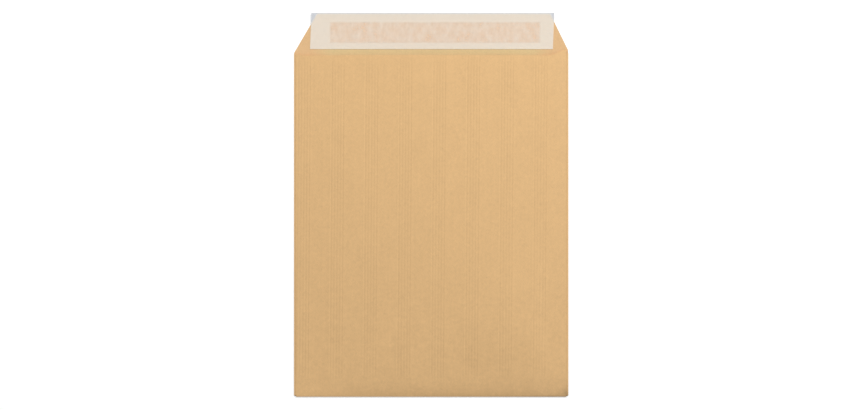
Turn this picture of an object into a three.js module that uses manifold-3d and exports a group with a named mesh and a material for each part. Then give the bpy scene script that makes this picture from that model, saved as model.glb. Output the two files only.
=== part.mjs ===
// A kraft pocket envelope with a peel-and-seal flap, lying open on its front.
//
// One die-cut sheet makes the envelope: the front panel lies on the table, the back panel is folded up
// over it at the bottom, a narrow seam flap folds in along each side and is glued under the back panel,
// and the closing flap carries on past the mouth with its inside up. A band of adhesive runs across the
// flap, under a wider strip of release paper.
//
// Millimetres. +Y runs from the bottom fold to the tip of the flap, +X across, +Z up. The origin is the
// centre of the front panel's outer face, on the table.
import * as THREE from "three";
import { LoftGeometry } from "three/addons/geometries/LoftGeometry.js";
import { mergeGeometries, mergeVertices } from "three/addons/utils/BufferGeometryUtils.js";
import Module from "manifold-3d";

// Pocket
const pocketWidth = 260; // side fold to side fold
const pocketLength = 330; // bottom fold to flap crease
const paperThickness = 0.12; // kraft of about 90 g/m2
const mouthRise = 7; // how far the back panel bows up in the middle of the mouth
const bowPower = 3; // a higher power takes the bow closer to the bottom fold
const sideFoldGap = 0.3; // air left inside a side fold

// Back panel
const backPanelInset = 1.9; // its cut edge stops this far inside the side fold
const throatDip = 6.8; // the mouth's edge lies this far below the crease
const throatCorner = 17; // width of the curve that takes that edge up to the shoulder
const throatShoulder = 3; // width of its level end, on the right
const throatShoulderDip = 1.2; // how far that end lies below the crease
const throatShift = -4.8; // the edge was cut this far off the panel's centre

// Seam flaps
const seamFlapWidth = 15; // from the side fold to the free edge
const seamFlapSlant = THREE.MathUtils.degToRad(24); // both ends are cut at this angle
const seamFlapBottomMargin = 1; // from the bottom fold to its end
const seamFlapTopMargin = 4.4; // from the crease to its end
const seamGlueWidth = 9;
const seamGlueThickness = 0.1;
const seamGlueClearance = 0.05; // to the paper on either side
const seamGlueEdge = 1.5; // from the back panel's cut edge to the glue
const seamGlueEnd = 8; // from the seam flap's ends to the glue

// Closing flap
const flapLength = 32.9; // crease to tip
const flapInset = 19.6; // how far in from the side folds its slanted sides end
const shoulderDrop = 3.1; // the slanted sides start this far below the crease
const flapShift = 0.6; // the side folds were made this far off the flap's centre
const flapLean = 0.048; // and the flap was cut leaning to one side by this slope
const flapCornerRadius = 3;
const flapAngle = THREE.MathUtils.degToRad(0.8); // the crease holds the flap up this much
const flapCurl = 0.3; // and its tip curls up by this much more

// Adhesive band and release strip, on the flap's inner face
const stripClearance = 0.03; // between the flap, the adhesive and the release strip
const adhesiveThickness = 0.08;
const adhesiveCreaseMargin = 5.1; // from the crease
const adhesiveTipMargin = 7.6; // from the flap's tip
const adhesiveSideMargin = 15.4; // from the release strip's ends
const adhesiveShift = 2.7; // the band was laid this far off the release strip's centre
const linerThickness = 0.06;
const linerCreaseMargin = -0.5; // from the crease: it was laid a little past it
const linerOverhang = 1.1; // past the flap's tip
const linerSideMargin = 14.9; // from the side folds
const linerShift = 0.9; // the release strip was laid this far off the pocket's centre
const linerLean = 0.038; // and its ends were cut off square by this slope

// Facets
const middleColumns = 16;
const cornerColumns = 6;
const panelRows = 22;
const foldSteps = 6;
const seamColumns = 5;
const flapRows = 6;
const cornerRows = 3;

// Sizes that follow from these
const outerY = -pocketLength / 2; // the bottom fold's outermost line
const creaseY = pocketLength / 2;
const sideFoldOuter = paperThickness + sideFoldGap / 2; // radius of the side fold's outer face
const sideFoldInner = sideFoldGap / 2;
const sheetHalf = pocketWidth / 2 - sideFoldOuter; // where the flat front panel ends and its fold begins
const seamGap = seamGlueThickness + 2 * seamGlueClearance; // between the seam flap and the back panel
const seamFlapBase = 2 * sideFoldOuter - paperThickness; // the seam flap's underside, at the side fold
const backPanelBase = seamFlapBase + paperThickness + seamGap; // the back panel's underside, at its edges
const bottomFoldOuter = (backPanelBase + paperThickness) / 2;
const bottomFoldInner = bottomFoldOuter - paperThickness;
const bottomFoldY = outerY + bottomFoldOuter; // the fold's axis, where both panels leave it
const backHalf = pocketWidth / 2 - backPanelInset;
const throatFlatHalf = backHalf - throatShoulder - throatCorner - throatShift; // half of its level part
const flapSlope = flapInset / (flapLength + shoulderDrop); // how fast the slanted sides run in

const { clamp, lerp } = THREE.MathUtils;

// The pocket's bow: nothing along the side and bottom folds, most in the middle of the mouth.
function bow(x, y) {
  const across = 1 - (x / sheetHalf) ** 2;
  const along = clamp((y - bottomFoldY) / (creaseY - bottomFoldY), 0, 1);
  return mouthRise * Math.max(across, 0) * (1 - (1 - along) ** bowPower);
}

// The mouth's edge: level across the middle, and curved up towards a level shoulder at each end.
function throatY(x) {
  const rise = clamp((Math.abs(x - throatShift) - throatFlatHalf) / throatCorner, 0, 1);
  return creaseY - lerp(throatDip, throatShoulderDip, rise ** 2);
}

// Evenly spaced numbers from a to b, both included.
function steps(a, b, count) {
  return Array.from({ length: count + 1 }, (_, i) => lerp(a, b, i / count));
}

// Where the columns of points lie across a panel, from -1 to 1: close together where the mouth's edge
// curves.
function columnStations() {
  const left = (throatShift - throatFlatHalf) / backHalf;
  const right = (throatShift + throatFlatHalf) / backHalf;
  return [
    ...steps(-1, left, cornerColumns),
    ...steps(left, right, middleColumns).slice(1, -1),
    ...steps(right, 1, cornerColumns),
  ];
}

// A row of points across a panel, from x = left to x = right.
function across(left, right, pointAt) {
  return columnStations().map((station) => pointAt(lerp(left, right, (1 + station) / 2)));
}

// A sheet as a closed solid: rows of points on its outer face and as many on its inner face, lofted
// round the sheet's edges, with its two end edges closed by strips between the faces.
function sheet(rows) {
  const first = rows[0];
  const last = rows[rows.length - 1];
  const walls = new LoftGeometry(rows.map(({ outer, inner }) => [...outer, ...inner.slice().reverse()]));
  const startEdge = new LoftGeometry([first.inner, first.outer], { closed: false });
  const endEdge = new LoftGeometry([last.outer, last.inner], { closed: false });
  return mergeGeometries([walls, startEdge, endEdge]);
}

const wasm = await Module();
wasm.setup();

function toManifold(geometry) {
  const bare = geometry.clone();
  bare.deleteAttribute("normal");
  bare.deleteAttribute("uv");
  const welded = mergeVertices(bare);
  const mesh = new wasm.Mesh({
    numProp: 3,
    vertProperties: new Float32Array(welded.attributes.position.array),
    triVerts: new Uint32Array(welded.index.array),
  });
  return new wasm.Manifold(mesh);
}

function toGeometry(solid) {
  const { vertProperties, triVerts } = solid.getMesh();
  const geometry = new THREE.BufferGeometry();
  geometry.setAttribute("position", new THREE.BufferAttribute(vertProperties, 3));
  geometry.setIndex(new THREE.BufferAttribute(triVerts, 1));
  geometry.computeVertexNormals();
  return geometry;
}

// The closing flap's outer face, s past the crease: it leaves the crease at flapAngle and curls up
// towards its tip. The point is moved off that face by offset, along its normal.
function flapPoint(x, s, offset) {
  const past = Math.max(s, 0);
  const rise = s < 0 ? 0 : Math.tan(flapAngle);
  const height = rise * past + flapCurl * (past / flapLength) ** 2;
  const slope = rise + (2 * flapCurl * past) / flapLength ** 2;
  const length = Math.hypot(1, slope);
  return new THREE.Vector3(x, creaseY + s - (offset * slope) / length, height + offset / length);
}

// A slanted side of the flap: x at s past the crease, on the side of +X (1) or -X (-1). Below its
// shoulder it is the straight edge of the front panel.
function slantedSide(side, s) {
  const past = s + shoulderDrop;
  const fromCentre = pocketWidth / 2 - flapSlope * past;
  return clamp(side * fromCentre + flapShift + flapLean * past, -sheetHalf, sheetHalf);
}

// The flap's outline, as its left and right edge at stations from the lower shoulder to the tip, where
// the corners are rounded.
function flapOutline() {
  const lean = Math.atan(flapSlope);
  const cut = flapCornerRadius * Math.tan((Math.PI / 2 - lean) / 2);
  const station = (s, inset) => ({ s, left: slantedSide(-1, s) + inset, right: slantedSide(1, s) - inset });

  const foldMargin = pocketWidth / 2 - sheetHalf;
  const shoulders = [-1, 1].map(
    (side) => (foldMargin + side * flapShift) / (flapSlope - side * flapLean) - shoulderDrop,
  );
  const arcStart = flapLength - flapCornerRadius * (1 - Math.sin(lean));
  const sides = [...shoulders, ...steps(0, arcStart, flapRows)].map((s) => station(s, 0));
  const corner = steps(lean, Math.PI / 2, cornerRows).map((angle) => {
    const s = flapLength - flapCornerRadius * (1 - Math.sin(angle));
    const sharp = flapSlope * (flapLength - s);
    return station(s, cut - flapCornerRadius * Math.cos(angle) + sharp);
  });
  return [...sides, ...corner.slice(1)];
}

// The long strip of the blank: closing flap, front panel, bottom fold and back panel, from the flap's
// tip round to the mouth's edge. Its outer face is the outside of the envelope.
function panelStrip() {
  const flap = flapOutline()
    .reverse()
    .map(({ s, left, right }) => ({
      outer: across(left, right, (x) => flapPoint(x, s, 0)),
      inner: across(left, right, (x) => flapPoint(x, s, paperThickness)),
    }));

  const frontEndY = outerY + seamFlapBottomMargin;
  const front = {
    outer: across(-sheetHalf, sheetHalf, (x) => new THREE.Vector3(x, frontEndY, 0)),
    inner: across(-sheetHalf, sheetHalf, (x) => new THREE.Vector3(x, frontEndY, paperThickness)),
  };

  const foldPoint = (x, angle, radius) =>
    new THREE.Vector3(x, bottomFoldY - radius * Math.cos(angle), bottomFoldOuter + radius * Math.sin(angle));
  const fold = steps(-Math.PI / 2, Math.PI / 2, foldSteps).map((angle) => ({
    outer: across(-backHalf, backHalf, (x) => foldPoint(x, angle, bottomFoldOuter)),
    inner: across(-backHalf, backHalf, (x) => foldPoint(x, angle, bottomFoldInner)),
  }));

  const backPoint = (x, along, offset) => {
    const y = lerp(bottomFoldY, throatY(x), along);
    return new THREE.Vector3(x, y, backPanelBase + bow(x, y) + offset);
  };
  const back = steps(0, 1, panelRows)
    .slice(1)
    .map((along) => ({
      outer: across(-backHalf, backHalf, (x) => backPoint(x, along, paperThickness)),
      inner: across(-backHalf, backHalf, (x) => backPoint(x, along, 0)),
    }));

  return sheet([...flap, front, ...fold, ...back]);
}

// Where the seam flap starts and ends along Y, at a distance in from the side fold.
function seamEnds(inward) {
  const taper = Math.max(inward, 0) * Math.tan(seamFlapSlant);
  return [outerY + seamFlapBottomMargin + taper, creaseY - seamFlapTopMargin - taper];
}

// A side fold with its seam flap, on the side of +X (1) or -X (-1). It begins inside the front panel, so
// that the two join, turns over at the fold and runs back under the back panel.
function seamFlap(side) {
  const rootLength = 1;
  const freeEdge = pocketWidth / 2 - seamFlapWidth;
  const turn = steps(-Math.PI / 2, Math.PI / 2, foldSteps);
  const root = [sheetHalf - rootLength];
  const run = steps(sheetHalf, freeEdge, seamColumns).slice(1);

  const row = (along) => {
    const yAt = (inward) => lerp(...seamEnds(inward), along);
    const point = (x, inward, z) => new THREE.Vector3(side * x, yAt(inward), z);
    const face = (radius, rootZ, runZ) => [
      ...root.map((x) => point(x, 0, rootZ)),
      ...turn.map((angle) =>
        point(sheetHalf + radius * Math.cos(angle), 0, sideFoldOuter + radius * Math.sin(angle)),
      ),
      ...run.map((x) => {
        const inward = sheetHalf - x;
        return point(x, inward, runZ + bow(x, yAt(inward)));
      }),
    ];
    return {
      outer: face(sideFoldOuter, 0, seamFlapBase + paperThickness),
      inner: face(sideFoldInner, paperThickness, seamFlapBase),
    };
  };
  // The two sides wind opposite ways, so one is lofted from the top down.
  const rows = steps(0, 1, panelRows).map(row);
  return sheet(side > 0 ? rows.reverse() : rows);
}

// The folded blank, in one piece.
function envelopeBlank() {
  const solids = [panelStrip(), seamFlap(1), seamFlap(-1)].map(toManifold);
  return toGeometry(solids[0].add(solids[1]).add(solids[2]));
}

// The glue that holds a seam flap to the back panel, following the bow between them.
function seamGlue(side) {
  const outerX = backHalf - seamGlueEdge;
  const innerX = outerX - seamGlueWidth;
  const underside = seamFlapBase + paperThickness + seamGlueClearance;
  const row = (along) => {
    const face = (offset) =>
      steps(innerX, outerX, seamColumns).map((x) => {
        const [start, end] = seamEnds(sheetHalf - x);
        const y = lerp(start + seamGlueEnd, end - seamGlueEnd, along);
        return new THREE.Vector3(side * x, y, underside + bow(x, y) + offset);
      });
    return { outer: face(0), inner: face(seamGlueThickness) };
  };
  const rows = steps(0, 1, panelRows).map(row);
  return sheet(side > 0 ? rows.reverse() : rows);
}

// A strip laid on the flap, between two distances past the crease and two across, at a height over the
// flap's outer face. Its ends lean by a slope, about the middle of its width.
function flapStrip(fromS, toS, fromX, toX, lean, height, thickness) {
  const rows = steps(toS, fromS, flapRows).map((s) => {
    const ends = [fromX, toX].map((x) => x + lean * (s - (fromS + toS) / 2));
    return {
      outer: ends.map((x) => flapPoint(x, s, height)),
      inner: ends.map((x) => flapPoint(x, s, height + thickness)),
    };
  });
  return sheet(rows);
}

const linerHalf = pocketWidth / 2 - linerSideMargin;
const adhesiveHalf = linerHalf - adhesiveSideMargin;
const adhesiveHeight = paperThickness + stripClearance;
const linerHeight = adhesiveHeight + adhesiveThickness + stripClearance;

function adhesiveBand() {
  const centre = linerShift + adhesiveShift;
  return flapStrip(
    adhesiveCreaseMargin,
    flapLength - adhesiveTipMargin,
    centre - adhesiveHalf,
    centre + adhesiveHalf,
    0,
    adhesiveHeight,
    adhesiveThickness,
  );
}

function releaseLiner() {
  return flapStrip(
    linerCreaseMargin,
    flapLength + linerOverhang,
    linerShift - linerHalf,
    linerShift + linerHalf,
    linerLean,
    linerHeight,
    linerThickness,
  );
}

// Materials
const kraft = new THREE.MeshStandardMaterial({ color: "#d8b282", roughness: 0.8, metalness: 0 });
const glassine = new THREE.MeshStandardMaterial({
  color: "#ebdbc7",
  roughness: 0.45,
  metalness: 0,
  transparent: true,
  opacity: 0.75,
});
const hotMelt = new THREE.MeshStandardMaterial({ color: "#dcbf94", roughness: 0.25, metalness: 0 });
const seamPaste = new THREE.MeshStandardMaterial({ color: "#e6ddc8", roughness: 0.6, metalness: 0 });

function named(name, geometry, material) {
  const mesh = new THREE.Mesh(geometry, material);
  mesh.name = name;
  return mesh;
}

const envelope = new THREE.Group();
envelope.name = "kraft_envelope";
envelope.add(
  named("envelope", envelopeBlank(), kraft),
  named("seam_glue_left", seamGlue(-1), seamPaste),
  named("seam_glue_right", seamGlue(1), seamPaste),
  named("flap_adhesive", adhesiveBand(), hotMelt),
  named("release_liner", releaseLiner(), glassine),
);

export default envelope;
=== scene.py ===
"""A kraft pocket envelope lying on its front panel with its closing flap open, seen from straight above.

The folded sheet, the adhesive band and the release strip are made again here as fine meshes, on the
same folds and edges as the CAD solids. The two glue films under the side seams are the CAD nodes.
"""
import math

import bmesh
import bpy
import numpy as np
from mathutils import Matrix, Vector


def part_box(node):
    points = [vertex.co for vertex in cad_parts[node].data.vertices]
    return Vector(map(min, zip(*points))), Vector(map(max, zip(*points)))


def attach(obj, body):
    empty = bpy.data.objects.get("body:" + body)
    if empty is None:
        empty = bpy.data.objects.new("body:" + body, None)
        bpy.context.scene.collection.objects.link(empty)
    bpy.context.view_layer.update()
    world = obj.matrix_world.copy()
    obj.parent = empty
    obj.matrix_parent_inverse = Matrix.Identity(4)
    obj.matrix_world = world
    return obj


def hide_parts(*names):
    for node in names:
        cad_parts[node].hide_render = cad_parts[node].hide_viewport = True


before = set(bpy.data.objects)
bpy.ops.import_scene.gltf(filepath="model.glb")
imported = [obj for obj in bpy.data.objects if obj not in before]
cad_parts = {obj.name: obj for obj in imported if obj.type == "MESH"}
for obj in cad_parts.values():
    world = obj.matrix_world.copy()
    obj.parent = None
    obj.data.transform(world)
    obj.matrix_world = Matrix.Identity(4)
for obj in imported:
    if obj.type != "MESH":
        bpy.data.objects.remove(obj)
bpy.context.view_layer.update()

MM = 0.001


def box_mm(node):
    """A CAD node's lowest and highest corner, in millimetres."""
    low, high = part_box(node)
    return np.array(low) / MM, np.array(high) / MM


# Sizes in millimetres. The outline comes from the frame.
SHEET_LOW, SHEET_HIGH = box_mm("envelope")
BAND_LOW, BAND_HIGH = box_mm("flap_adhesive")
LINER_LOW, LINER_HIGH = box_mm("release_liner")
POCKET_HALF = SHEET_HIGH[0]
BOTTOM_Y = SHEET_LOW[1]
CREASE_Y = -BOTTOM_Y
TIP_Y = SHEET_HIGH[1]

PAPER = 0.12
MOUTH_RISE = 7.0
BOW_POWER = 3
SIDE_FOLD_RADIUS = 0.21
BACK_INSET = 1.9
SEAM_GAP = 0.2

# The mouth's edge: how far it lies below the crease, and how it rises to its level ends
THROAT_DIP = 6.8
THROAT_CORNER = 17.0
THROAT_SHOULDER = 3.0
THROAT_SHOULDER_DIP = 1.2
THROAT_SHIFT = -4.8

# Seam flaps
SEAM_WIDTH = 15.0
SEAM_SLANT = math.tan(math.radians(24))
SEAM_BOTTOM_MARGIN = 1.0
SEAM_TOP_MARGIN = 4.4

# Closing flap
FLAP_INSET = 19.6
SHOULDER_DROP = 3.1
FLAP_SHIFT = 0.6
FLAP_LEAN = 0.048
FLAP_CORNER = 3.0
FLAP_RISE = math.tan(math.radians(0.8))
FLAP_CURL = 0.3

# The pocket's soft swell, inside the stiffer seams: the bottom fold springs open, and the pocket is
# fuller in one corner
SEAM_ZONE = (95.0, 113.0)  # from the pocket's middle: from full swell to none
SPRING_RISE = 1.8
SPRING_RUN = 7.0
SWELL_PLACE = (75.0, -105.0)
SWELL_SIZE = (50.0, 34.0, 80.0)  # to each side, below and above
SWELL_RISE = 2.2

# The sheet's slight waves: height, run of a radian across and along, and start in radians
WAVES = [(0.10, 17, 61, 0), (0.08, 31, -23, 1.3), (0.05, 9, 97, 2.1)]
WAVES_RUN = 60.0  # they grow to their full height over this length above the bottom fold

# Pressed lines in the kraft: groups of fine grooves that run along the pocket, with a low ridge
# outside each group
LINE_GROUPS = 8
GROUP_PITCH = 32.04
LINES_IN_GROUP = 5
LINE_PITCH = 2.75
FIRST_LINE = -126.65
LINE_HALF_WIDTH = 0.75
LINE_DEPTH = 0.1
OUTER_LINE = 1.15  # how much deeper a group's outer lines are
RIDGE_PLACE = 1.15  # outside the outer line
RIDGE_HALF_WIDTH = 0.8
RIDGE_SHARE = 0.5  # of a line's depth
LINE_LEAN = 0.0076  # the lines lean by this slope about LEAN_ORIGIN
LEAN_ORIGIN = 17.2
LINES_END = 15.0  # they end this far above the bottom fold
LINES_MOUTH_END = 1.0  # and this far below the mouth
LINES_FADE = 8.0

# Strips on the flap
STRIP_GAP = 0.03
ADHESIVE = 0.08
LINER = 0.06
LINER_EDGE_LIFT = 0.15
LINER_LEAN = 0.038
LINER_FREE = 0.6  # over this width where it leaves the flap it turns grey and more opaque: painted shade of the table seen through it
BAND_WAVER = [(0.35, 6.1, 0), (0.25, 2.7, 1)]  # of its long edges: height, run of a radian, start
BAND_WAVER_TRIM = 0.6  # how far those edges lie inside the band's box
BAND_END_WAVER = 0.5

# Painted shade: darker along the bottom fold, where it turns from the light, more to the right and
# most in the right corner, which has a darker spot; and cloudy from handling towards the bottom
CUT_EDGE = 0.8  # width of the paler rim at a cut edge: the paper's pale cut fibres together with a painted highlight where the edge catches the light
SHADE_RUN = 3.0
SHADE_FROM, SHADE_WIDTH = -60.0, 170.0
FOLD_SHADE = 0.25  # how dark it is everywhere, and how much more so at the right
FOLD_LINE_SHARPER = 3.5  # the dark line on the fold itself is this much narrower than the painted shade along it
CORNER_SHADE = 0.75
CORNER_SIZE = (55.0, 16.0)
CORNER_SPOT = 1.5
CORNER_SPOT_PLACE = (2.0, 4.0)  # in from the right side and up from the bottom fold
CORNER_SPOT_SIZE = (2.5, 3.5)
HANDLED_FROM, HANDLED_RUN = -20.0, 90.0

# The sheet's inner side by the crease, seen in the mouth, is painted paler but for its ends: painted light
# where it lies lit in the mouth
LIP_DEPTH = 9.0
LIP_FADE = 2.0
LIP_END, LIP_END_FADE = 114.0, 18.0

# How fine the meshes are, in steps from one end to the other
FOLD_STEPS = 10
CORNER_STEPS = 6
FLAP_STEPS = 12
FRONT_STEPS = 36
BACK_STEPS = 64
BACK_CLOSER = 1.3  # its rows lie closer together near the fold, by this power
SEAM_STEPS = 8
COLUMN_STEPS = 59
COLUMN_MARGIN = 3.0  # from the back panel's edges to the first and last of the columns between groups
RIM = 0.5  # width of the mesh's last column at those edges
BAND_STEPS = (150, 16)
LINER_STEPS = (229, 34)
SHARP = math.radians(40)  # edges that turn further than this are shaded as sharp

# What follows from these
FLAP_LENGTH = TIP_Y - CREASE_Y
SHEET_HALF = POCKET_HALF - SIDE_FOLD_RADIUS - PAPER / 2
FLAP_SLOPE = FLAP_INSET / (FLAP_LENGTH + SHOULDER_DROP)
BACK_HALF = POCKET_HALF - BACK_INSET
THROAT_FLAT_HALF = BACK_HALF - THROAT_SHOULDER - THROAT_CORNER - THROAT_SHIFT
FRONT_Z = PAPER / 2
SEAM_Z = FRONT_Z + 2 * SIDE_FOLD_RADIUS
BACK_Z = SEAM_Z + PAPER + SEAM_GAP
BOTTOM_FOLD_RADIUS = (BACK_Z - FRONT_Z) / 2
BOTTOM_FOLD_Y = BOTTOM_Y + BOTTOM_FOLD_RADIUS + PAPER / 2
SLACK = 0.1  # places closer than this are taken as one


# Shape of the folded sheet, as the surface in the middle of the paper

def bow(x, y):
    """How far the back panel stands up: nothing along its folds and most in the middle of the mouth,
    with the spring of the bottom fold and the swell."""
    over = np.maximum(1 - (x / SHEET_HALF) ** 2, 0)
    from_fold = np.maximum(y - BOTTOM_FOLD_Y, 0)
    along = np.minimum(from_fold / (CREASE_Y - BOTTOM_FOLD_Y), 1)
    rise = 1 - (1 - along) ** BOW_POWER
    sprung = 1 - np.exp(-from_fold / SPRING_RUN)
    inward = np.clip((SEAM_ZONE[1] - np.abs(x)) / (SEAM_ZONE[1] - SEAM_ZONE[0]), 0, 1)
    inside = inward**2 * (3 - 2 * inward)
    across, below, above = SWELL_SIZE
    off_y = y - SWELL_PLACE[1]
    place = ((x - SWELL_PLACE[0]) / across) ** 2 + (off_y / np.where(off_y < 0, below, above)) ** 2
    swell = SWELL_RISE * np.exp(-place) * sprung
    return over * MOUTH_RISE * rise + inside * (SPRING_RISE * over * (sprung - rise) + swell)


def ripple(x, y):
    """The slight waves of a sheet that has been folded and handled, which die out at its folds."""
    over = np.maximum(1 - (x / SHEET_HALF) ** 2, 0)
    along = np.clip((y - BOTTOM_FOLD_Y) / WAVES_RUN, 0, 1)
    waves = [height * np.sin(x / run_x + y / run_y + start) for height, run_x, run_y, start in WAVES]
    return over * along * sum(waves)


def throat_y(x):
    """The mouth's edge."""
    rise = np.clip((np.abs(x - THROAT_SHIFT) - THROAT_FLAT_HALF) / THROAT_CORNER, 0, 1)
    return CREASE_Y - THROAT_DIP + (THROAT_DIP - THROAT_SHOULDER_DIP) * rise**2


def flap_height(s):
    """The flap's outer face over the table, s past the crease."""
    past = np.maximum(s, 0)
    return FLAP_RISE * past + FLAP_CURL * (past / FLAP_LENGTH) ** 2


def slanted_side(side, s):
    """Where a slanted side of the flap is at s past the crease; below its shoulder, the panel's edge."""
    past = s + SHOULDER_DROP
    from_centre = POCKET_HALF - FLAP_SLOPE * past
    return np.clip(side * from_centre + FLAP_SHIFT + FLAP_LEAN * past, -SHEET_HALF, SHEET_HALF)


def line_places():
    """Where the pressed lines lie across the sheet."""
    groups = FIRST_LINE + GROUP_PITCH * np.arange(LINE_GROUPS)
    return (groups[:, None] + LINE_PITCH * np.arange(LINES_IN_GROUP)).ravel()


def columns():
    """Where the mesh's columns lie across the front panel: on and beside each pressed line, and
    spread out between the groups."""
    lines = line_places()
    beside = (lines[:, None] + LINE_HALF_WIDTH * np.array([-1, -0.5, 0, 0.5, 1])).ravel()
    first, last = lines[::LINES_IN_GROUP], lines[LINES_IN_GROUP - 1 :: LINES_IN_GROUP]
    ridges = np.concatenate([first - RIDGE_PLACE, last + RIDGE_PLACE])[:, None]
    ridges = (ridges + RIDGE_HALF_WIDTH * np.array([-1, 0, 1])).ravel()
    ridges = ridges[np.abs(ridges[:, None] - beside).min(axis=1) > SLACK]
    spread = spaced(-BACK_HALF + COLUMN_MARGIN, BACK_HALF - COLUMN_MARGIN, COLUMN_STEPS)
    clear = np.abs(spread[:, None] - lines).min(axis=1) > 3.5 * LINE_HALF_WIDTH
    edges = [-SHEET_HALF, -BACK_HALF + RIM, BACK_HALF - RIM, SHEET_HALF]
    return np.unique(np.round(np.concatenate([beside, ridges, spread[clear], edges]), 4))


def spaced(start, end, steps):
    """The values from start to end in equal steps."""
    return np.linspace(start, end, steps + 1)


def flap_rows():
    """(s, left, right) for rows from the flap's tip, round its corners, down to the lower shoulder."""
    lean = math.atan(FLAP_SLOPE)
    cut = FLAP_CORNER * math.tan((math.pi / 2 - lean) / 2)
    arc_start = FLAP_LENGTH - FLAP_CORNER * (1 - math.sin(lean))
    lower, upper = (
        (POCKET_HALF - SHEET_HALF + side * FLAP_SHIFT) / (FLAP_SLOPE - side * FLAP_LEAN) - SHOULDER_DROP
        for side in (-1, 1)
    )
    rows = []
    for angle in spaced(math.pi / 2, lean, CORNER_STEPS)[:-1]:
        s = FLAP_LENGTH - FLAP_CORNER * (1 - math.sin(angle))
        inset = cut - FLAP_CORNER * math.cos(angle) + FLAP_SLOPE * (FLAP_LENGTH - s)
        rows.append((s, slanted_side(-1, s) + inset, slanted_side(1, s) - inset))
    straight = [*spaced(arc_start, 1, FLAP_STEPS), 0.5, 0, -0.5, upper, (upper + lower) / 2, lower]
    return rows + [(s, slanted_side(-1, s), slanted_side(1, s)) for s in straight]


def strip_patch():
    """The long strip of the blank, as rows of points: flap, front panel, bottom fold, back panel."""
    across = columns()
    rows = []

    def add_row(x, y, z):
        rows.append(np.stack([x, np.broadcast_to(y, x.shape), np.broadcast_to(z, x.shape)], axis=1))

    def leaning(y, half):
        """The columns at a row, leaning with the pressed lines, between the sheet's edges."""
        inner = across[1:-1] + LINE_LEAN * (y - LEAN_ORIGIN)
        return np.clip([across[0], *inner, across[-1]], -half, half)

    for s, left, right in flap_rows():
        x = left + (right - left) * (leaning(CREASE_Y, SHEET_HALF) + SHEET_HALF) / (2 * SHEET_HALF)
        add_row(x, CREASE_Y + s, FRONT_Z + flap_height(s))
    for y in front_rows():
        add_row(leaning(y, SHEET_HALF), y, FRONT_Z)
    for angle in spaced(-math.pi / 2, math.pi / 2, FOLD_STEPS):
        y = BOTTOM_FOLD_Y - BOTTOM_FOLD_RADIUS * math.cos(angle)
        z = FRONT_Z + BOTTOM_FOLD_RADIUS * (1 + math.sin(angle))
        add_row(leaning(y, BACK_HALF), y, z)
    for along in back_rows():
        x = leaning(BOTTOM_FOLD_Y + (CREASE_Y - BOTTOM_FOLD_Y) * along, BACK_HALF)
        y = BOTTOM_FOLD_Y + (throat_y(x) - BOTTOM_FOLD_Y) * along
        add_row(x, y, BACK_Z + bow(x, y) + ripple(x, y))
    return np.array(rows)


def front_rows():
    """Where the front panel's rows lie, from the seam flaps' upper ends to their lower ends."""
    return spaced(CREASE_Y - SEAM_TOP_MARGIN, BOTTOM_Y + SEAM_BOTTOM_MARGIN, FRONT_STEPS)


def back_rows():
    """Where the back panel's rows lie, as shares of the way from the bottom fold to the mouth."""
    return spaced(0, 1, BACK_STEPS)[1:] ** BACK_CLOSER


def seam_patch(side):
    """A side fold with its seam flap, which shares its first column with the front panel's edge."""
    bottom, top = BOTTOM_Y + SEAM_BOTTOM_MARGIN, CREASE_Y - SEAM_TOP_MARGIN
    rows = []
    for y in front_rows():
        along = (y - bottom) / (top - bottom)
        angles = spaced(-math.pi / 2, math.pi / 2, FOLD_STEPS)
        x = list(SHEET_HALF + SIDE_FOLD_RADIUS * np.cos(angles))
        z = list(FRONT_Z + SIDE_FOLD_RADIUS * (1 + np.sin(angles)))
        row_y = [y] * len(angles)
        for run in spaced(SHEET_HALF, POCKET_HALF - SEAM_WIDTH, SEAM_STEPS)[1:]:
            taper = (SHEET_HALF - run) * SEAM_SLANT
            here = bottom + taper + (top - bottom - 2 * taper) * along
            x.append(run)
            row_y.append(here)
            z.append(SEAM_Z + bow(side * run, here) + ripple(side * run, here))
        rows.append(np.stack([side * np.array(x), row_y, z], axis=1))
    return np.array(rows)


# Meshes

def surface(name, patches):
    """A surface through rows of points; where two patches share points they are joined."""
    shape = bmesh.new()
    for patch, flipped in patches:
        count, width = patch.shape[:2]
        points = [[shape.verts.new(point * MM) for point in row] for row in patch]
        for i in range(count - 1):
            for j in range(width - 1):
                corners = [points[i][j], points[i][j + 1], points[i + 1][j + 1], points[i + 1][j]]
                shape.faces.new(corners[::-1] if flipped else corners)
    bmesh.ops.remove_doubles(shape, verts=shape.verts, dist=1e-3 * MM)
    mesh = bpy.data.meshes.new(name)
    shape.to_mesh(mesh)
    shape.free()
    piece = bpy.data.objects.new(name, mesh)
    bpy.context.scene.collection.objects.link(piece)
    return piece


def thicken(piece, thickness):
    """Gives a surface its thickness, half on each side."""
    solid = piece.modifiers.new("thickness", "SOLIDIFY")
    solid.thickness = thickness * MM
    solid.offset = 0
    solid.use_even_offset = True
    solid.use_rim = True


def apply_modifiers(piece):
    """Turns the piece into the plain mesh that its modifiers give."""
    evaluated = piece.evaluated_get(bpy.context.evaluated_depsgraph_get())
    mesh = bpy.data.meshes.new_from_object(evaluated)
    mesh.name = piece.name
    piece.modifiers.clear()
    piece.data = mesh
    mesh.shade_smooth()
    mesh.set_sharp_from_angle(angle=SHARP)


def vectors(items, name, width=3):
    """One property of many items, as an array."""
    values = np.empty(len(items) * width)
    items.foreach_get(name, values)
    return values.reshape(-1, width)


def add(tree, kind, inputs=None, **settings):
    """A new node with its settings; each input is a value, or the socket that it is linked from."""
    node = tree.nodes.new(kind)
    for name, value in settings.items():
        setattr(node, name, value)
    for key, value in (inputs or {}).items():
        socket = node.inputs[key]
        if isinstance(value, bpy.types.NodeSocket):
            tree.links.new(value, socket)
        else:
            socket.default_value = value
    return node.outputs


# Pressed lines

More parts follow.
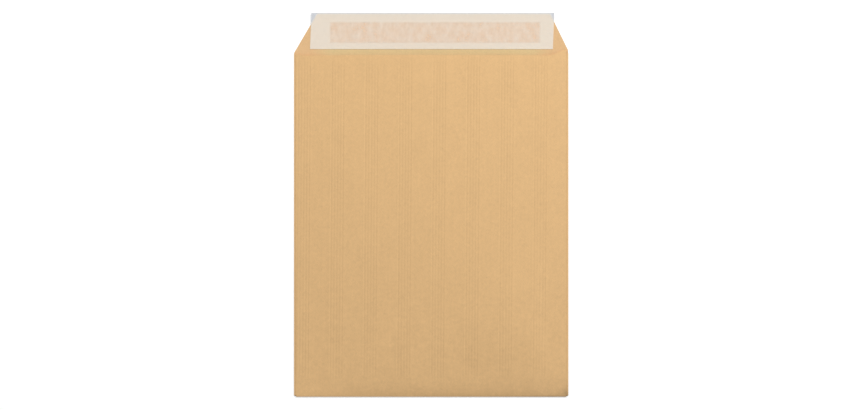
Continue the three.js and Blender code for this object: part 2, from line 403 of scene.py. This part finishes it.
def pressed_lines_tree(material):
    """Geometry Nodes that press groups of fine lines into a sheet along Y, from its outer face, and
    store how deep they are as the attribute pressed."""
    tree = bpy.data.node_groups.new("pressed lines", "GeometryNodeTree")
    sizes = {
        "First line": FIRST_LINE * MM,
        "Group pitch": GROUP_PITCH * MM,
        "Line pitch": LINE_PITCH * MM,
        "Half width": LINE_HALF_WIDTH * MM,
        "Depth": LINE_DEPTH * MM,
        "Outer line": OUTER_LINE,
        "Ridge place": RIDGE_PLACE * MM,
        "Ridge half width": RIDGE_HALF_WIDTH * MM,
        "Ridge share": RIDGE_SHARE,
        "Lean": LINE_LEAN,
        "Lean origin": LEAN_ORIGIN * MM,
    }
    tree.interface.new_socket("Sheet", in_out="INPUT", socket_type="NodeSocketGeometry")
    for name in sizes:
        tree.interface.new_socket(name, in_out="INPUT", socket_type="NodeSocketFloat")
    for name in ("Last group", "Last line"):
        tree.interface.new_socket(name, in_out="INPUT", socket_type="NodeSocketFloat")
    tree.interface.new_socket("Sheet", in_out="OUTPUT", socket_type="NodeSocketGeometry")
    given = add(tree, "NodeGroupInput")

    def math_node(operation, *values):
        return add(tree, "ShaderNodeMath", dict(enumerate(values)), operation=operation)[0]

    def nearest(place, pitch, last, operation):
        """The whole number of pitches up to last that is nearest to place, and place less those."""
        number = math_node(operation, math_node("DIVIDE", place, pitch))
        number = math_node("MINIMUM", math_node("MAXIMUM", number, 0.0), last)
        return number, math_node("SUBTRACT", place, math_node("MULTIPLY", number, pitch))

    position = add(tree, "GeometryNodeInputPosition")[0]
    x, y, _ = add(tree, "ShaderNodeSeparateXYZ", {0: position})
    leaning = math_node("MULTIPLY", math_node("SUBTRACT", y, given["Lean origin"]), given["Lean"])
    place = math_node("SUBTRACT", math_node("ADD", x, given["Line pitch"]), leaning)
    from_first = math_node("SUBTRACT", place, given["First line"])
    in_group = nearest(from_first, given["Group pitch"], given["Last group"], "FLOOR")[1]
    in_group = math_node("SUBTRACT", in_group, given["Line pitch"])
    line, off_line = nearest(in_group, given["Line pitch"], given["Last line"], "ROUND")
    half_last = math_node("MULTIPLY", given["Last line"], 0.5)
    from_middle = math_node("ABSOLUTE", math_node("SUBTRACT", line, half_last))
    outer = math_node("GREATER_THAN", from_middle, math_node("SUBTRACT", half_last, 0.5))
    strength = math_node("MULTIPLY_ADD", outer, math_node("SUBTRACT", given["Outer line"], 1.0), 1.0)
    half_group = math_node("MULTIPLY", half_last, given["Line pitch"])
    from_centre = math_node("ABSOLUTE", math_node("SUBTRACT", in_group, half_group))
    past_group = math_node("SUBTRACT", from_centre, half_group)
    off_ridge = math_node("ABSOLUTE", math_node("SUBTRACT", past_group, given["Ridge place"]))

    def hump(distance, half_width, height):
        """height at no distance, falling smoothly to nothing at half_width."""
        inputs = {"Value": distance, "From Max": half_width, "To Min": height, "To Max": 0.0}
        return add(tree, "ShaderNodeMapRange", inputs, interpolation_type="SMOOTHSTEP")[0]

    groove = hump(math_node("ABSOLUTE", off_line), given["Half width"], 1.0)
    groove = math_node("MULTIPLY", groove, strength)
    depth = math_node("SUBTRACT", groove, hump(off_ridge, given["Ridge half width"], given["Ridge share"]))
    weight = add(tree, "GeometryNodeInputNamedAttribute", {"Name": "pressable"}, data_type="FLOAT")[0]
    pressed = math_node("MULTIPLY", depth, weight)
    offset = math_node("MULTIPLY", math_node("MULTIPLY", pressed, given["Depth"]), -1.0)
    normal = add(tree, "GeometryNodeInputNormal")[0]
    sheet = add(tree, "GeometryNodeStoreNamedAttribute", {
        "Geometry": given["Sheet"],
        "Name": "outward",
        "Value": normal,
    }, data_type="FLOAT_VECTOR", domain="POINT")[0]
    sheet = add(tree, "GeometryNodeStoreNamedAttribute", {
        "Geometry": sheet,
        "Name": "pressed",
        "Value": pressed,
    }, data_type="FLOAT", domain="POINT")[0]
    move = add(tree, "ShaderNodeVectorMath", {0: normal, "Scale": offset}, operation="SCALE")[0]
    sheet = add(tree, "GeometryNodeSetPosition", {"Geometry": sheet, "Offset": move})[0]
    sheet = add(tree, "GeometryNodeRealizeInstances", {0: sheet})[0]
    sheet = add(tree, "GeometryNodeSetMaterial", {"Geometry": sheet, "Material": material})[0]
    add(tree, "NodeGroupOutput", {0: sheet})
    sizes["Last group"] = LINE_GROUPS - 1
    sizes["Last line"] = LINES_IN_GROUP - 1
    return tree, sizes


def press_lines(piece, material):
    """Adds the pressed lines as a modifier."""
    tree, sizes = pressed_lines_tree(material)
    modifier = piece.modifiers.new("pressed lines", "NODES")
    modifier.node_group = tree
    for socket in tree.interface.items_tree:
        if socket.in_out == "INPUT" and socket.name in sizes:
            modifier[socket.identifier] = float(sizes[socket.name])


# Materials

def linear(code):
    """An sRGB hex colour as linear RGBA."""
    parts = [int(code[i : i + 2], 16) / 255 for i in (1, 3, 5)]
    return (*(c / 12.92 if c <= 0.04045 else ((c + 0.055) / 1.055) ** 2.4 for c in parts), 1)


def new_material(name):
    """A material with an empty tree but for its shader, and the shader."""
    material = bpy.data.materials.new(name)
    material.use_nodes = True
    shader = material.node_tree.nodes["Principled BSDF"]
    return material, material.node_tree, shader


def millimetres(tree, stretch=(1, 1, 1), turn=0.0):
    """Object coordinates in millimetres, divided by the pattern's size along each axis."""
    place = add(tree, "ShaderNodeTexCoord")["Object"]
    turning = {"Vector": place, "Angle": turn}
    turned = add(tree, "ShaderNodeVectorRotate", turning, rotation_type="Z_AXIS")[0]
    scale = tuple(1 / (size * MM) for size in stretch)
    return add(tree, "ShaderNodeVectorMath", {0: turned, 1: scale}, operation="MULTIPLY")[0]


def noise(tree, size, turn=0.0, detail=2.0, **inputs):
    """Noise from about -0.5 to 0.5, with features of that size in millimetres along each axis."""
    place = millimetres(tree, size, turn)
    value = add(tree, "ShaderNodeTexNoise", {"Vector": place, "Scale": 1.0, "Detail": detail, **inputs})[0]
    return add(tree, "ShaderNodeMath", {0: value, 1: 0.5}, operation="SUBTRACT")[0]


def blend_colours(tree, factor, first, second):
    """The first colour where factor is 0 and the second where it is 1; each is a hex code or a socket."""
    first, second = (linear(c) if isinstance(c, str) else c for c in (first, second))
    return add(tree, "ShaderNodeMix", {"Factor": factor, 6: first, 7: second}, data_type="RGBA")[2]


def shaded(tree, colour, shade):
    """A colour times a shade of about 1."""
    return add(tree, "ShaderNodeVectorMath", {0: colour, "Scale": shade}, operation="SCALE")[0]


def weighted(tree, base, parts):
    """base plus each part times its weight."""
    total = base
    for value, weight in parts:
        total = add(tree, "ShaderNodeMath", {0: value, 1: weight, 2: total}, operation="MULTIPLY_ADD")[0]
    return total


def kraft_paper():
    """Unbleached machine-glazed kraft, 90 g/m2: warm brown and matt, cloudy where its fibres clump,
    with faint streaks along the web, long pale fibres and a few dark shives. Painted shade darkens it
    along the bottom fold and in the pressed grooves, and painted light brightens the ridges beside
    them, its cut edges and its inner side in the mouth."""
    material, tree, shader = new_material("machine-glazed kraft paper")
    clouds = noise(tree, (14, 14, 14), detail=3.0)
    blotches = noise(tree, (7, 5, 7), turn=0.3, detail=2.0)
    flocks = noise(tree, (3.2, 3.2, 3.2), detail=2.0)
    streaks = noise(tree, (1.9, 90, 30), detail=2.0)
    # Real fibres are 0.03 mm thick; these are drawn ten times as thick, so that they show
    fibres_one = noise(tree, (0.35, 3.5, 2), turn=0.5, detail=1.0)
    fibres_two = noise(tree, (0.35, 3.5, 2), turn=-0.7, detail=1.0)
    # So is the grain, which is really about 0.1 mm
    grain = noise(tree, (0.6, 0.6, 0.6), detail=1.0)
    shives = add(tree, "ShaderNodeTexVoronoi", {"Vector": millimetres(tree, (6, 9, 6)), "Scale": 1.0})
    speck = add(tree, "ShaderNodeMapRange", {
        "Value": shives["Distance"],
        "From Min": 0.03,
        "From Max": 0.07,
        "To Min": 1.0,
        "To Max": 0.0,
    }, interpolation_type="SMOOTHSTEP")[0]
    pressed = add(tree, "ShaderNodeAttribute", attribute_name="pressed")["Fac"]
    reverse = add(tree, "ShaderNodeAttribute", attribute_name="reverse")["Fac"]
    cut_edge_highlight = add(tree, "ShaderNodeAttribute", attribute_name="cut_edge_highlight")["Fac"]
    handled = add(tree, "ShaderNodeAttribute", attribute_name="handled")["Fac"]
    painted_fold_shade = add(tree, "ShaderNodeAttribute", attribute_name="painted_fold_shade")["Fac"]
    mouth_painted_light = add(tree, "ShaderNodeAttribute", attribute_name="mouth_painted_light")["Fac"]
    handled_blotches = add(tree, "ShaderNodeMath", {0: blotches, 1: handled}, operation="MULTIPLY")[0]
    shade = weighted(tree, 1.0, [
        (clouds, 0.08),
        (handled_blotches, 0.12),
        (flocks, 0.125),
        (streaks, 0.055),
        (fibres_one, 0.15),
        (fibres_two, 0.15),
        (grain, 0.18),
        (speck, -0.16),
        # darker in the pressed grooves, partly the denser pressed paper and partly painted shade; the
        # ridges beside each group are painted lighter, as painted light
        (pressed, -0.055),
        # paler along the back panel's cut edges: partly the pale cut fibres, partly a painted highlight
        (cut_edge_highlight, 0.02),
        # painted shade along the bottom fold and in its right corner
        (painted_fold_shade, -0.18),
    ])
    side = blend_colours(tree, reverse, "#dbb27c", "#dcb483")
    # painted light: the inner side in the mouth is painted paler
    side = blend_colours(tree, mouth_painted_light, side, "#d9be8b")
    tree.links.new(shaded(tree, side, shade), shader.inputs["Base Color"])
    rough = weighted(tree, 0.68, [(flocks, 0.15), (reverse, 0.1)])
    tree.links.new(rough, shader.inputs["Roughness"])
    relief = weighted(tree, 0.0, [(fibres_one, 0.5), (fibres_two, 0.5), (grain, 0.3), (flocks, 0.6)])
    bump = add(tree, "ShaderNodeBump", {"Height": relief, "Distance": 0.03 * MM, "Strength": 0.8})[0]
    tree.links.new(bump, shader.inputs["Normal"])
    return material


def glassine():
    """Silicone-coated glassine release paper: whitish, half clear and faintly cloudy, with a dull
    gloss. Where the adhesive wets its underside it is clearer. Where it reaches past the flap it is
    painted grey and more opaque, as painted shade of the table seen through it."""
    material, tree, shader = new_material("glassine release paper")
    clouds = noise(tree, (5, 5, 5), detail=3.0)
    blots = noise(tree, (5.5, 9, 6), detail=2.0)
    wetted = add(tree, "ShaderNodeAttribute", attribute_name="wetted")["Fac"]
    free = add(tree, "ShaderNodeAttribute", attribute_name="free")["Fac"]
    wet_blots = add(tree, "ShaderNodeMath", {0: blots, 1: wetted}, operation="MULTIPLY")[0]
    # past the flap it is more opaque, to carry the painted shade below
    parts = [(clouds, 0.06), (wetted, -0.18), (wet_blots, 0.36), (free, 0.30)]
    tree.links.new(weighted(tree, 0.51, parts), shader.inputs["Alpha"])
    colour = blend_colours(tree, weighted(tree, 0.5, [(clouds, 1.0)]), "#fffaee", "#fef7ea")
    # painted shade: grey where the strip reaches past the flap
    colour = blend_colours(tree, free, colour, "#d4d6da")
    tree.links.new(colour, shader.inputs["Base Color"])
    shader.inputs["Roughness"].default_value = 0.42
    shader.inputs["Specular IOR Level"].default_value = 0.3
    bump = add(tree, "ShaderNodeBump", {"Height": clouds, "Distance": 0.02 * MM, "Strength": 0.5})[0]
    tree.links.new(bump, shader.inputs["Normal"])
    return material


def hot_melt():
    """Pressure-sensitive hot-melt adhesive: an amber film, glossy and slightly lumpy."""
    material, tree, shader = new_material("hot-melt adhesive")
    lumps = noise(tree, (2.2, 3.4, 2.2), detail=2.0)
    shade = weighted(tree, 1.0, [(lumps, 0.1)])
    tree.links.new(shaded(tree, linear("#deb07c")[:3], shade), shader.inputs["Base Color"])
    shader.inputs["Roughness"].default_value = 0.22
    bump = add(tree, "ShaderNodeBump", {"Height": lumps, "Distance": 0.05 * MM, "Strength": 0.25})[0]
    tree.links.new(bump, shader.inputs["Normal"])
    return material


def seam_paste():
    """Dried starch paste: pale, matt and a little streaky from the wheel that rolled it on."""
    material, tree, shader = new_material("dried starch paste")
    streaks = noise(tree, (1.2, 14, 4), detail=2.0)
    shade = weighted(tree, 1.0, [(streaks, 0.1)])
    tree.links.new(shaded(tree, linear("#e4d9c0")[:3], shade), shader.inputs["Base Color"])
    shader.inputs["Roughness"].default_value = 0.55
    return material


# Pieces

def store(piece, name, values, domain="POINT"):
    """One number for each point or face of a piece, as an attribute that its material reads."""
    attribute = piece.data.attributes.new(name, "FLOAT", domain)
    attribute.data.foreach_set("value", np.asarray(values, float))


def sheet_edge_distance(x, y):
    """How far a point of the back panel is from the mouth's edge or the panel's side edges."""
    return np.minimum(throat_y(x) - y, BACK_HALF - np.abs(x))


def painted_fold_shade_amount(inward, upward):
    """How much painted shade darkens the sheet, at these distances from its right side and its bottom
    fold: along the fold, where it turns from the light, more at the right and in the right corner,
    with a darker spot in that corner.
    """
    from_fold = upward / SHADE_RUN
    right = np.clip((POCKET_HALF - inward - SHADE_FROM) / SHADE_WIDTH, 0, 1)
    along_fold = np.exp(-from_fold) * (FOLD_SHADE + FOLD_SHADE * right) + np.exp(-FOLD_LINE_SHARPER * from_fold) * right
    corner = np.exp(-((inward / CORNER_SIZE[0]) ** 2) - (upward / CORNER_SIZE[1]) ** 2)
    off_spot = [(inward - CORNER_SPOT_PLACE[0]) / CORNER_SPOT_SIZE[0], (upward - CORNER_SPOT_PLACE[1]) / CORNER_SPOT_SIZE[1]]
    spot = np.exp(-(off_spot[0] ** 2) - off_spot[1] ** 2)
    return along_fold + CORNER_SHADE * corner + CORNER_SPOT * spot


def make_envelope(material):
    """The folded kraft blank, in one piece."""
    patches = [(strip_patch(), False), (seam_patch(1), False), (seam_patch(-1), True)]
    piece = surface("folded_kraft_blank", patches)
    x, y, z = (vectors(piece.data.vertices, "co") / MM).T
    from_ends = np.minimum(y - BOTTOM_Y - LINES_END, CREASE_Y - THROAT_DIP - LINES_MOUTH_END - y)
    panels = np.abs(x) < BACK_HALF - 2 * SLACK
    store(piece, "pressable", np.clip(from_ends / LINES_FADE, 0, 1) * panels)
    on_back = z > BACK_Z - SLACK
    # A paler rim at the back panel's cut edges, partly a painted highlight where they catch the light
    store(piece, "cut_edge_highlight", np.clip(1 - sheet_edge_distance(x, y) / CUT_EDGE, 0, 1) * on_back)
    store(piece, "handled", np.clip((HANDLED_FROM - y) / HANDLED_RUN, 0, 1))
    # Painted shade along the bottom fold, where it turns from the light, and in its right corner
    store(piece, "painted_fold_shade", painted_fold_shade_amount(POCKET_HALF - x, y - BOTTOM_Y))
    # Painted light on the inner side between the crease and the mouth, but for its ends
    mouth_painted_light = np.clip(1 - (y - CREASE_Y) / LIP_FADE, 0, 1) * np.clip((LIP_END - np.abs(x)) / LIP_END_FADE, 0, 1)
    store(piece, "mouth_painted_light", mouth_painted_light * (y > CREASE_Y - LIP_DEPTH) * (z < BACK_Z - 2 * SLACK))
    press_lines(piece, material)
    thicken(piece, PAPER)
    apply_modifiers(piece)
    mark_reverse(piece)
    return piece


def mark_reverse(piece):
    """Stores which faces show the sheet's inner side."""
    mesh = piece.data
    outward = vectors(mesh.attributes["outward"].data, "vector")
    starts = vectors(mesh.polygons, "loop_start", 1).astype(int).ravel()
    corner = vectors(mesh.loops, "vertex_index", 1).astype(int).ravel()
    facing = (vectors(mesh.polygons, "normal") * outward[corner[starts]]).sum(axis=1)
    store(piece, "reverse", facing < 0.3, "FACE")


def make_adhesive(material):
    """The band of adhesive on the flap, with the slightly uneven edges of a film laid by a roller."""
    rows = []
    for v in spaced(0, 1, BAND_STEPS[1]):
        x = spaced(BAND_LOW[0], BAND_HIGH[0], BAND_STEPS[0])
        waver = sum(height * np.sin(x / run + start) for height, run, start in BAND_WAVER)
        y = BAND_LOW[1] + (BAND_HIGH[1] - BAND_LOW[1]) * v + (waver - BAND_WAVER_TRIM) * (2 * v - 1)
        end = BAND_END_WAVER * np.sin(5 * v * math.pi)
        x = x + end * np.abs(2 * spaced(0, 1, BAND_STEPS[0]) - 1) ** 8  # at the ends only
        z = FRONT_Z + flap_height(y - CREASE_Y) + PAPER / 2 + STRIP_GAP + ADHESIVE / 2
        rows.append(np.stack([x, y, z], axis=1))
    piece = surface("adhesive_band", [(np.array(rows), False)])
    thicken(piece, ADHESIVE)
    apply_modifiers(piece)
    piece.data.materials.append(material)
    return piece


def make_liner(material):
    """The release strip, which lies flat over the adhesive and stands off a little along its edges."""
    cut = LINER_LEAN * (LINER_HIGH[1] - LINER_LOW[1]) / 2
    rows = []
    for y in spaced(LINER_LOW[1], LINER_HIGH[1], LINER_STEPS[1]):
        lean = LINER_LEAN * (y - (LINER_LOW[1] + LINER_HIGH[1]) / 2)
        x = spaced(LINER_LOW[0] + cut, LINER_HIGH[0] - cut, LINER_STEPS[0]) + lean
        past_band = np.maximum(BAND_LOW[1] - y, y - BAND_HIGH[1]) / (BAND_LOW[1] - LINER_LOW[1])
        past_end = np.maximum(BAND_LOW[0] - x, x - BAND_HIGH[0]) / (LINER_HIGH[0] - BAND_HIGH[0])
        free = np.clip(np.maximum(past_band, past_end), 0, 1)
        wave = 0.75 + 0.25 * np.sin(x / 13 + 0.7) * np.sin(y / 11)
        stack = PAPER + 2 * STRIP_GAP + ADHESIVE + LINER / 2
        z = flap_height(y - CREASE_Y) + stack + LINER_EDGE_LIFT * wave * free**2
        rows.append(np.stack([x, np.full_like(x, y), z], axis=1))
    piece = surface("release_strip", [(np.array(rows), False)])
    x, y, z = (vectors(piece.data.vertices, "co") / MM).T
    inside = np.minimum.reduce([x - BAND_LOW[0], BAND_HIGH[0] - x, y - BAND_LOW[1], BAND_HIGH[1] - y])
    store(piece, "wetted", np.clip(inside / 1.6 + 0.3, 0, 1))
    s = y - CREASE_Y
    past_flap = np.maximum.reduce([slanted_side(-1, s) - x, x - slanted_side(1, s), y - TIP_Y])
    # Where the strip reaches past the flap, for its painted shade
    store(piece, "free", np.clip(past_flap / LINER_FREE + 0.5, 0, 1))
    thicken(piece, LINER)
    apply_modifiers(piece)
    piece.data.materials.append(material)
    return piece


envelope = make_envelope(kraft_paper())
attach(envelope, "root")
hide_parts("envelope")

adhesive = make_adhesive(hot_melt())
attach(adhesive, "root")
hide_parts("flap_adhesive")

liner = make_liner(glassine())
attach(liner, "root")
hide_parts("release_liner")

paste = seam_paste()
for node in ("seam_glue_left", "seam_glue_right"):
    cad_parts[node].material_slots[0].material = paste


# Table, lamps and camera

IMAGE_WIDTH = 860  # pixels
MM_PER_PIXEL = 0.948
CAMERA_CENTRE = (-1.14, 16.7)  # the point of the table in the middle of the picture
LENS = 100.0
SENSOR = 36.0
TABLE_HALF = 4.0  # metres
TABLE_LEVEL = -0.0002
TABLE_GLOW = 0.27


def seen(tree):
    """1 for what the camera sees, also in or through the envelope, and 0 for the light that it gives."""
    ray = add(tree, "ShaderNodeLightPath")
    rays = {0: ray["Is Camera Ray"], 1: ray["Is Glossy Ray"]}
    direct = add(tree, "ShaderNodeMath", rays, operation="MAXIMUM")[0]
    rays = {0: direct, 1: ray["Is Transmission Ray"]}
    return add(tree, "ShaderNodeMath", rays, operation="MAXIMUM")[0]


def white_table():
    """A white table that stays white to the eye and keeps the envelope's soft shadow."""
    material, tree, shader = new_material("white table")
    shader.inputs["Base Color"].default_value = (0.9, 0.9, 0.9, 1)
    shader.inputs["Roughness"].default_value = 0.9
    glow = add(tree, "ShaderNodeMath", {0: seen(tree), 1: TABLE_GLOW}, operation="MULTIPLY")[0]
    shader.inputs["Emission Color"].default_value = (1, 1, 1, 1)
    tree.links.new(glow, shader.inputs["Emission Strength"])
    return material


def make_table():
    """The table, a hair below the envelope."""
    mesh = bpy.data.meshes.new("table")
    corners = [(-1, -1), (1, -1), (1, 1), (-1, 1)]
    points = [(x * TABLE_HALF, y * TABLE_HALF, TABLE_LEVEL) for x, y in corners]
    mesh.from_pydata(points, [], [(0, 1, 2, 3)])
    table = bpy.data.objects.new("table", mesh)
    bpy.context.scene.collection.objects.link(table)
    mesh.materials.append(white_table())


def make_world(strength):
    """An even pale surround, white where the camera sees it."""
    world = bpy.data.worlds.new("studio")
    bpy.context.scene.world = world
    world.use_nodes = True
    tree = world.node_tree
    level = add(tree, "ShaderNodeMapRange", {"Value": seen(tree), "To Min": strength, "To Max": 1.0})[0]
    background = tree.nodes["Background"]
    background.inputs["Color"].default_value = (1, 1, 1, 1)
    tree.links.new(level, background.inputs["Strength"])


def make_lamp(name, place, size, power):
    """A square soft lamp at place, in metres, facing the envelope."""
    light = bpy.data.lights.new(name, "AREA")
    light.size = size
    light.energy = power
    lamp = bpy.data.objects.new(name, light)
    lamp.location = place
    lamp.rotation_euler = lamp.location.to_track_quat("Z", "Y").to_euler()
    bpy.context.scene.collection.objects.link(lamp)


def make_camera():
    """The camera, straight above the envelope."""
    camera = bpy.data.cameras.new("camera")
    camera.lens = LENS
    camera.sensor_width = SENSOR
    camera.sensor_fit = "HORIZONTAL"
    camera.clip_end = 20
    eye = bpy.data.objects.new("camera", camera)
    distance = IMAGE_WIDTH * MM_PER_PIXEL * LENS / SENSOR
    eye.location = (CAMERA_CENTRE[0] * MM, CAMERA_CENTRE[1] * MM, distance * MM)
    bpy.context.scene.collection.objects.link(eye)
    bpy.context.scene.camera = eye


make_table()
make_world(0.44)
make_lamp("softbox over the flap", (-0.6, 1.2, 0.7), 0.5, 8.2)
make_lamp("window on the right", (1.44, 1.4, 1.5), 0.8, 39.1)
make_camera()
bpy.context.scene.view_settings.view_transform = "Standard"
